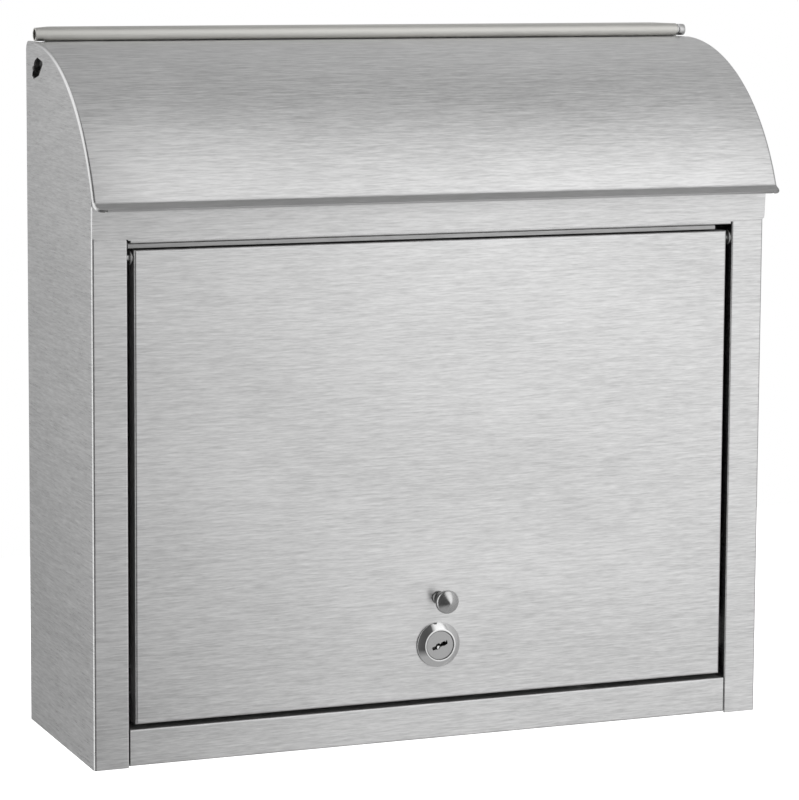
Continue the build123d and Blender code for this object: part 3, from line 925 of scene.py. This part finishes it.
@dataclass
class BoxShell:
    """The fixed folded sheets of the box."""

    finishes: Finishes
    post_depth: float = 1.7  # faces this near the front belong to the post
    post_aim: float = 0.75  # least forward share of such a face's normal

    def build(self) -> None:
        """Dress every fixed sheet."""
        f = self.finishes
        for node in ("left_side_panel", "right_side_panel"):
            self.dress_side(node)
        groups = (
            (f.back_sheet, ("back_panel",)),
            (f.front_sheet, ("bottom_panel", "top_rail", "door_stop_tabs")),
            # the gap strip takes the darker sheet: painted shade under the top rail
            (f.shaded_sheet, ("door_gap_strip",)),
            (f.rubber, ("lid_bumpers", "door_stop_pads")),
            (f.zinc, ("door_pivot_pins", "door_pivot_clips")),
            (f.washer, ("door_pivot_washers",)),
        )
        for material, nodes in groups:
            for node in nodes:
                dress(node, material)

    def dress_side(self, node: str) -> None:
        """Side plate brushed front to back, its post brushed across.

        Args:
            node: the side panel's node.
        """
        mesh = dress(node, self.finishes.side_sheet, self.finishes.front_sheet)
        post = (node_span(node)[0].y + self.post_depth) * MM
        for face in mesh.polygons:
            ahead = abs(face.normal.y) > self.post_aim and face.center.y < post
            face.material_index = 1 if ahead else 0


@dataclass
class Lid:
    """The curved lid with its lip, hook, rod, ears and stop pins."""

    finishes: Finishes
    arc_radius: float = 118.6
    neck_half: float = 186.0
    neck_y: float = -24.0
    lip_height: float = 292.6
    lip_length: float = 6.8
    lip_drop: float = 26.0
    lip_bend: float = 1.6
    bend_angle: float = 1.2  # share of the curve that the lip's bend takes, degrees
    corner_radius: float = 4.6
    edge_roll: float = 1.6
    polish: float = 0.45  # share of the rolled edge that is polished
    hinge_gap: float = 0.25
    hook_end: float = 345.0
    web_angle: float = 339.0
    web_play: float = 0.2
    rod_radius: float = 2.62
    head_length: float = 3.8

    def __post_init__(self) -> None:
        """Take the places of hinge, rod and lid from the frame."""
        _, y, z = joint_point("lid_hinge")
        low, high = node_span("lid_hinge_rod")
        self.hinge = (y, z)
        self.head_radius = (high.y - low.y) / 2
        self.rod_ends = (low.x, high.x)
        self.half_width = node_span("lid_shell")[1].x
        self.curl_radius = node_span("hinge_strip")[1].z - z
        self.hook_radius = self.curl_radius + self.hinge_gap
        self.arc_centre = (y, z - self.hook_radius - self.arc_radius)

    def lip_path(self) -> list[Point2]:
        """Path of the outer face from the lip's free edge to the top of the curve.

        Returns:
            Points in the side plane.
        """
        centre, radius = self.arc_centre, self.arc_radius
        foot_angle = 180 - math.degrees(math.asin((self.lip_height - centre[1]) / radius))
        foot = arc_point(centre, radius, foot_angle)
        tip = arc_point(foot, self.lip_length, 180.0 + self.lip_drop)
        curve = arc_points(centre, radius, foot_angle - self.bend_angle, 90.0, 72)
        bend = rounded([tip, foot, curve[0]], self.lip_bend, 6)
        fine = [tuple(Vector(tip).lerp(Vector(bend[1]), t)) for t in LIP_STEPS]
        return fine + bend[1:-1] + curve

    def half_at(self, point: Point2, tip: Point2) -> float:
        """Half the lid's width at a point, less at the lip's rounded corners.

        Args:
            point: (y, z) point of the lip or curve.
            tip: point at the lip's free edge.

        Returns:
            Half the width in mm.
        """
        away, r = math.dist(point, tip), self.corner_radius
        if away >= r:
            return self.half_width
        return self.half_width - r + math.sqrt(r**2 - (r - away) ** 2)

    def build_shell(self) -> Piece:
        """The curved sheet.

        Returns:
            The object.
        """
        f = self.finishes
        path = self.lip_path()
        sheet = Ribbon("lid_sheet", columns=13, roll=self.edge_roll)
        for point in path:
            if point[0] < self.neck_y:
                half = self.half_at(point, path[0])
                sheet.run([point], -half, half)
        neck_angle = math.degrees(math.acos((self.neck_y - self.arc_centre[0]) / self.arc_radius))
        edge = arc_point(self.arc_centre, self.arc_radius, neck_angle)
        sheet.run([edge], -self.half_width, self.half_width)
        hook = arc_points(self.hinge, self.hook_radius, 270.0, self.hook_end, 18)
        sheet.run([(edge[0] + NECK_STEP, edge[1]), *hook], -self.neck_half, self.neck_half)
        piece = sheet.build(f.front_sheet, bevel=0.25, rim=f.cut_edge)
        # the lip's faces below its foot take the darker lip sheet, index 2: painted shade
        for finish in (f.lip_painted_shade_sheet, f.cut_edge):
            piece.data.materials.append(finish)
        foot = spot(0.0, 0.0, self.lip_height).z
        polished = (self.half_width - self.edge_roll * self.polish) * MM
        for face in piece.data.polygons:
            if abs(face.center.x) > polished:
                face.material_index = 1
            elif face.center.z < foot:
                face.material_index = 2
        return piece

    def build_rod(self) -> Piece:
        """The headed rod.

        Returns:
            The object.
        """
        left, right = self.rod_ends
        r, head, start = self.rod_radius, self.head_radius, right - self.head_length
        profile = [(0.0, left), (r - 0.6, left), (r - 0.15, left + 0.2), (r, left + 0.6), (r, start)]
        profile += [(head - 0.3, start), (head, start + 0.3)]
        profile += [(head, right - 0.6), (head - 0.15, right - 0.2), (head - 0.6, right), (0.0, right)]
        return lathe("lid_rod", profile, (0.0, *self.hinge), self.finishes.rod_steel, Axis.ALONG_X, 48)

    def build_web(self) -> Piece:
        """The short web between hook and rod.

        Returns:
            The object.
        """
        web = Ribbon("lid_web")
        radii = (self.hook_radius + 0.5, self.rod_radius - 0.3)
        ends = [arc_point(self.hinge, radius, self.web_angle) for radius in radii]
        web.run(ends, self.rod_ends[0] + self.web_play, self.neck_half - self.web_play)
        return web.build(self.finishes.rod_steel, bevel=0.1)

    def build(self) -> None:
        """Build and dress the lid."""
        f = self.finishes
        settle(self.build_shell(), "lid", "brushed_sheet", "lid_shell")
        settle(self.build_web(), "lid", "brushed_sheet")
        settle(self.build_rod(), "lid", "hinge_rod_steel", "lid_hinge_rod")
        # ears and stop pins take the near-black steel: painted shade inside the lid's slot
        for node in ("left_lid_ear", "right_lid_ear", "lid_stop_pins"):
            dress(node, f.painted_shade_steel)


@dataclass
class RolledHinge:
    """The slotted tube over the back edge, with its shelf and rear leg."""

    finishes: Finishes
    sheet: float = 0.8
    back_half: float = 178.0
    curl_start: float = -6.0
    curl_end: float = 278.0
    ring_length: float = 4.4  # at the left end the curl is a whole ring
    seam: float = 0.5
    lap: float = 0.02  # how far the shelf stands over the tube's top

    def __post_init__(self) -> None:
        """Take the tube's place from the frame."""
        _, y, z = joint_point("lid_hinge")
        low, high = node_span("hinge_strip")
        self.centre = (y, z)
        self.radius = high.z - z
        self.left, self.right = low.x, high.x
        self.back_y, self.foot = high.y, low.z

    def build(self) -> None:
        """Build the strip."""
        tube = Ribbon("hinge_tube", thickness=self.sheet)
        curl = arc_points(self.centre, self.radius, self.curl_end, self.curl_start, 56)
        tube.run(curl, self.left, self.right)
        settle(tube.build(self.finishes.rolled_steel, bevel=0.15), "box", "hinge_steel", "hinge_strip")
        ring = Ribbon("hinge_ring", thickness=self.sheet, columns=3)
        gap = (self.curl_start - self.seam, self.curl_end - 360 + self.seam)
        ring.run(arc_points(self.centre, self.radius, *gap, 18), self.left, self.left + self.ring_length)
        settle(ring.build(self.finishes.rolled_steel, bevel=0.10), "box", "hinge_steel")
        shelf = Ribbon("hinge_shelf", thickness=self.sheet)
        middle, top = self.centre[0], self.centre[1] + self.radius + self.lap
        path = rounded([(middle - 0.4, top), (self.back_y, top), (self.back_y, self.foot)], 1.2, 5)
        for point in path:
            share = min(1.0, max(0.0, (point[0] - middle) / (self.back_y - middle)))
            left = self.left + (-self.back_half - self.left) * share
            shelf.run([point], left, self.right + (self.back_half - self.right) * share)
        settle(shelf.build(self.finishes.rolled_steel, bevel=0.12), "box", "hinge_steel")


@dataclass
class Door:
    """The door pan and its hardware."""

    finishes: Finishes
    fold_depth: float = 1.05
    stem: Point2 = (2.9, 8.2)  # radius and length
    head: tuple[Point2, ...] = (
        (5.9, 10.4), (6.35, 11.3), (6.35, 13.0), (5.9, 13.7), (0.7, 17.2), (0.0, 17.3)
    )
    foot: tuple[Point2, ...] = ((0.0, 0.0), (3.6, 0.0), (3.6, 0.9), (2.9, 1.6))

    def __post_init__(self) -> None:
        """Take the knob's place from the frame."""
        low, high = node_span("knob")
        self.face_y = high.y
        self.knob_centre = (0.0, high.y, (low.z + high.z) / 2)

    def build_head(self) -> Piece:
        """Coned head of the turned knob."""
        path = solid_profile([(0.0, self.stem[1]), self.stem, *self.head], 0.45, 4)
        return lathe("door_knob", path, self.knob_centre, self.finishes.turned)

    def build_stem(self) -> Piece:
        """Stem and foot behind the knob's head, darker with painted shade."""
        path = solid_profile([*self.foot, self.stem, (0.0, self.stem[1])], 0.3, 3)
        return lathe("knob_stem", path, self.knob_centre, self.finishes.painted_shade_turned)

    def build(self) -> None:
        """Build and dress the door."""
        f = self.finishes
        pan = dress("door_panel", f.front_sheet, f.mill_sheet)
        fold = (self.face_y + self.fold_depth) * MM
        for face in pan.polygons:
            if face.center.y > fold:
                face.material_index = 1
        head = settle(self.build_head(), "door", "turned_steel", "knob")
        head.visible_glossy = False  # the satin door shows no image of the small head
        # the stem takes the darker turned steel: painted shade behind the head
        settle(self.build_stem(), "door", "turned_steel")
        for node in ("knob_screw", "knob_washer", "lock_washer", "lock_nut"):
            dress(node, f.zinc)


@dataclass
class CamLock:
    """The cam lock: rim and barrel, key plug, cam and screw."""

    finishes: Finishes
    rim_radius: float = 12.15
    cap_radius: float = 7.8
    cone_top: float = 8.75
    plug_radius: float = 6.5
    barrel_radius: float = 9.5
    barrel_end: float = -103.4
    barrel_flat: float = 8.3
    key_angle: float = 20.0
    fit: float = 0.07  # clearance of the plug all round
    plug_face: float = 2.9
    cap_seat: float = 1.6
    tang: float = 7.0
    tang_corner: float = 0.5
    tang_end: float = -100.4
    screw_radius: float = 2.0
    keyway: tuple[Point2, ...] = (
        (-4.7, -1.0), (-2.7, -1.3), (-2.2, -1.7), (-0.6, -1.6), (-0.2, -0.9), (1.6, -1.0),
        (2.0, -1.3), (4.3, -1.0), (4.7, 0.9), (4.0, 1.0), (3.7, 0.3), (3.1, 1.2),
        (1.2, 1.0), (0.5, 0.4), (-0.2, 1.4), (-1.9, 1.3), (-2.3, 0.6), (-4.7, 0.6),
    )  # with the steps that guide the key
    key_depth: float = 12.0
    wafer: tuple[Point2, ...] = (
        (-1.35, -2.1), (0.15, -2.1), (0.15, -0.75), (-0.2, -0.45), (-1.0, -0.45), (-1.35, -0.75)
    )
    wafer_face: float = 2.2
    wafer_thickness: float = 0.6

    def __post_init__(self) -> None:
        """Take the lock's place from the frame."""
        self.height = joint_point("lock_turn")[2]
        self.face_y = node_span("door_panel")[0].y
        self.length = self.face_y - self.barrel_end

    def place(self, out: float = 0.0) -> Point3:
        """Point on the lock's axis, this far out of the door."""
        return 0.0, self.face_y - out, self.height

    def build_body(self) -> Piece:
        """Rim and barrel as one turned piece with its bore.

        Returns:
            The object.
        """
        bore, seat, barrel = self.plug_radius + self.fit, self.cap_radius + self.fit, self.barrel_radius
        back = [(bore, self.length), (barrel - 0.4, self.length), (barrel, self.length + 0.4), (barrel, 0.0)]
        cone = [(self.rim_radius, 0.0), (self.rim_radius, 1.0), (self.cone_top, 3.35), (seat + 0.15, 3.4)]
        recess = [(seat, 3.2), (seat, self.cap_seat), (bore, self.cap_seat)]
        path = rounded([*back, *cone, *recess, back[0]], 0.22, 3)
        rim = lathe("lock_rim", path, self.place(), self.finishes.rim)
        behind = (self.face_y + 0.01) * MM
        flat = self.barrel_flat * MM
        for point in rim.data.vertices:
            if point.co.y > behind:
                point.co.x = max(-flat, min(flat, point.co.x))
        rim.data.update()
        return rim

    def build_plug(self) -> Piece:
        """Key plug with its face and keyway.

        Returns:
            The object.
        """
        face, shoulder, cap = self.plug_face, self.cap_seat + self.fit, self.cap_radius
        outline = [(0.0, face), (cap - 0.35, face), (cap, face - 0.3), (cap, shoulder)]
        outline += [(self.plug_radius, shoulder), (self.plug_radius, self.length), (0.0, self.length)]
        path = solid_profile(outline, 0.12, 2)
        plug = lathe("lock_key_plug", path, self.place(), self.finishes.plug)
        cut_out(plug, spun(self.keyway, self.key_angle), self.place(face), self.key_depth)
        return plug

    def build_wafer(self) -> Piece:
        """Sprung wafer whose bright corner shows in the keyway."""
        mesh = prism("lock_wafer", self.wafer, self.place(self.wafer_face), 0.0, self.wafer_thickness)
        return finish_mesh("lock_wafer", mesh, self.finishes.rim, SOLID_CREASE)

    def build_tang(self) -> Piece:
        """Square end of the plug that the cam sits on, bored for its screw.

        Returns:
            The object.
        """
        half = self.tang / 2
        side = [(half, half - self.tang_corner), (half - self.tang_corner, half)]
        ring = [point for turn in range(4) for point in spun(side, 90.0 * turn)]
        bore = [arc_point((0.0, 0.0), self.screw_radius, 45.0 * (k + 0.5)) for k in range(8)]
        start, end = self.barrel_end, self.tang_end
        work = bmesh.new()
        loops = []
        for outline, y in ((ring, start), (ring, end), (bore, end), (bore, start)):
            loops.append([work.verts.new(spot(x, y, z + self.height)) for x, z in outline])
        bridge(work, loops + loops[:1])
        return finish_mesh("lock_tang", to_mesh("lock_tang", work), self.finishes.plug, SOLID_CREASE)

    def build(self) -> None:
        """Build and dress the lock."""
        f = self.finishes
        settle(self.build_body(), "door", "polished_lock", "lock_body")
        settle(self.build_plug(), "lock_cylinder", "plug_steel", "lock_plug")
        settle(self.build_wafer(), "lock_cylinder", "plug_steel")
        settle(self.build_tang(), "lock_cylinder", "plug_steel")
        for node in ("lock_cam", "cam_screw", "cam_washer"):
            dress(node, f.zinc)


# ---------------------------------------------------------------------------
# studio
# ---------------------------------------------------------------------------


@dataclass
class Card:
    """A glowing card seen only in reflections: its glow varies across and up."""

    name: str
    y: float
    across: tuple[Point2, ...]
    upward: tuple[Point2, ...]
    lean: float = 0.0

    def build(self) -> None:
        """Make the card, standing square to Y."""
        left, right = self.across[0][0], self.across[-1][0]
        low, high = self.upward[0][0], self.upward[-1][0]
        work = bmesh.new()
        corners = [(left, low), (right, low), (right, high), (left, high)]
        work.faces.new([work.verts.new((x, self.y, z)) for x, z in corners])
        bmesh.ops.subdivide_edges(work, edges=work.edges, cuts=6, use_grid_fill=True)
        g = Graph(f"{self.name}_glow")
        place = g.add("ShaderNodeTexCoord")
        split = g.add("ShaderNodeSeparateXYZ")
        g.join(place.outputs["Object"], split.inputs[0])
        shift = g.spread(split.outputs["Z"], -0.6, 0.0, self.lean, 0.0)
        sideways = g.number("SUBTRACT", split.outputs["X"], shift)
        glow = g.number("MULTIPLY", g.curve(sideways, self.across), g.curve(split.outputs["Z"], self.upward))
        g.shader.inputs["Base Color"].default_value = (0.0, 0.0, 0.0, 1.0)
        g.shader.inputs["Roughness"].default_value = 1.0
        g.shader.inputs["Specular IOR Level"].default_value = 0.0
        g.shader.inputs["Emission Color"].default_value = WHITE
        g.join(glow, g.shader.inputs["Emission Strength"])
        card = finish_mesh(self.name, to_mesh(self.name, work, closed=False), g.material)
        card.visible_camera = False
        card.visible_shadow = False
        LOG.info("hung %s", self.name)


@dataclass
class Studio:
    """Camera, light and floor."""

    camera_at: Point3 = (-0.6627, -1.7119, 0.2548)
    yaw: float = 21.889
    pitch: float = 6.930
    roll: float = 0.336
    lens: float = 149.01
    sensor: float = 36.0
    rise: float = -0.1001  # small lens shift that straightens the uprights
    azimuth_glow: tuple[Point2, ...] = (
        (-180.0, 0.38), (-164.0, 0.52), (-152.0, 0.95), (-140.0, 1.20), (-82.0, 1.20), (-68.0, 0.70),
        (-58.0, 0.14), (-20.0, 0.09), (0.0, 0.16), (14.0, 0.42), (26.0, 0.78), (42.0, 0.84),
        (60.0, 0.62), (90.0, 0.46), (120.0, 0.44), (150.0, 0.54), (168.0, 0.32), (180.0, 0.36),
    )
    height_glow: tuple[Point2, ...] = (
        (-90.0, 0.75), (-30.0, 0.90), (-5.0, 1.0), (30.0, 1.05),
        (50.0, 1.12), (62.0, 1.05), (76.0, 0.78), (90.0, 0.60),
    )
    table_glow: float = 0.42
    floor_height: float = -1.3
    floor_half: float = 6.0

    def build_camera(self) -> None:
        """Camera at the product view."""
        data = bpy.data.cameras.new("camera")
        data.sensor_fit = "HORIZONTAL"
        data.sensor_width = self.sensor
        data.lens = self.lens
        data.shift_y = self.rise
        data.clip_end = 60.0
        camera = bpy.data.objects.new("camera", data)
        camera.location = self.camera_at
        turn = Euler((math.radians(90.0 - self.pitch), 0.0, math.radians(-self.yaw)), "XYZ").to_matrix()
        spin = Matrix.Rotation(math.radians(self.roll), 3, "Z")
        camera.rotation_euler = (turn @ spin).to_euler("XYZ")
        bpy.context.scene.collection.objects.link(camera)
        bpy.context.scene.camera = camera

    def build_world(self) -> None:
        """Soft studio light all round, white where the camera looks past the box."""
        world = bpy.data.worlds.new("studio")
        bpy.context.scene.world = world
        world.use_nodes = True
        world.node_tree.nodes.clear()
        g = Graph.on_tree(world.node_tree)
        place = g.add("ShaderNodeTexCoord")
        split = g.add("ShaderNodeSeparateXYZ")
        g.join(place.outputs["Generated"], split.inputs[0])
        x, y, z = split.outputs
        turn = g.number("DEGREES", g.number("ARCTAN2", x, g.number("MULTIPLY", y, -1.0)))
        rise = g.number("DEGREES", g.number("ARCSINE", z))
        glow = g.number("MULTIPLY", g.curve(turn, self.azimuth_glow), g.curve(rise, self.height_glow))
        below = g.spread(rise, -25.0, -50.0, 0.0, 1.0)
        table = g.blend(below, glow, self.table_glow)
        rays = g.add("ShaderNodeLightPath")
        seen = g.blend(rays.outputs["Is Camera Ray"], table, 1.0)
        back = g.add("ShaderNodeBackground")
        back.inputs["Color"].default_value = WHITE
        g.join(seen, back.inputs["Strength"])
        out = g.add("ShaderNodeOutputWorld")
        g.join(back.outputs[0], out.inputs[0])

    def build_cards(self) -> None:
        """The large soft panels on the right of the camera and behind on the left."""
        Card(
            "front_card",
            y=-0.90,
            across=(
                (-0.12, 0.30), (0.0, 0.60), (0.09, 0.81), (0.17, 0.94), (0.30, 1.02),
                (0.55, 1.04), (0.95, 1.02), (1.25, 0.62), (1.6, 0.38),
            ),
            upward=(
                (-1.2, 0.46), (-0.6, 0.65), (-0.3, 0.88), (0.0, 1.03), (0.5, 1.17), (1.0, 1.08), (1.5, 0.90)
            ),
            lean=0.10,
        ).build()
        Card(
            "rear_card",
            y=0.60,
            across=(
                (-0.80, 1.60), (-0.62, 1.0), (-0.50, 0.66), (-0.40, 0.53), (-0.35, 0.46), (-0.25, 0.32),
                (-0.12, 0.30),
            ),
            upward=((-1.1, 0.35), (-0.5, 0.60), (-0.2, 0.80), (0.05, 1.0), (0.6, 1.05)),
        ).build()

    def build_floor(self) -> None:
        """Plain pale floor well under the hanging box."""
        work = bmesh.new()
        bmesh.ops.create_grid(work, x_segments=8, y_segments=8, size=self.floor_half)
        mesh = to_mesh("floor", work, closed=False)
        mesh.transform(Matrix.Translation(Vector((0.0, 0.0, self.floor_height))))
        g = Graph("pale_floor")
        g.shader.inputs["Base Color"].default_value = (0.9, 0.9, 0.9, 1.0)
        g.shader.inputs["Roughness"].default_value = 0.9
        g.shader.inputs["Emission Color"].default_value = WHITE
        g.shader.inputs["Emission Strength"].default_value = 0.9
        floor = finish_mesh("floor", mesh, g.material)
        floor.visible_glossy = False
        floor.visible_diffuse = False
        floor.visible_shadow = False

    def build(self) -> None:
        """Set the whole studio up."""
        self.build_camera()
        self.build_world()
        self.build_cards()
        self.build_floor()
        view = bpy.context.scene.view_settings
        view.view_transform = "Standard"
        view.look = "None"
        LOG.info("studio ready")


def main() -> None:
    """Build the letter box piece by piece."""
    logging.basicConfig(level=logging.INFO, format="%(name)s: %(message)s")
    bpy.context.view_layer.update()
    finishes = Finishes()
    BoxShell(finishes).build()
    RolledHinge(finishes).build()
    Lid(finishes).build()
    Door(finishes).build()
    CamLock(finishes).build()
    Studio().build()


if __name__ == "__main__":
    main()
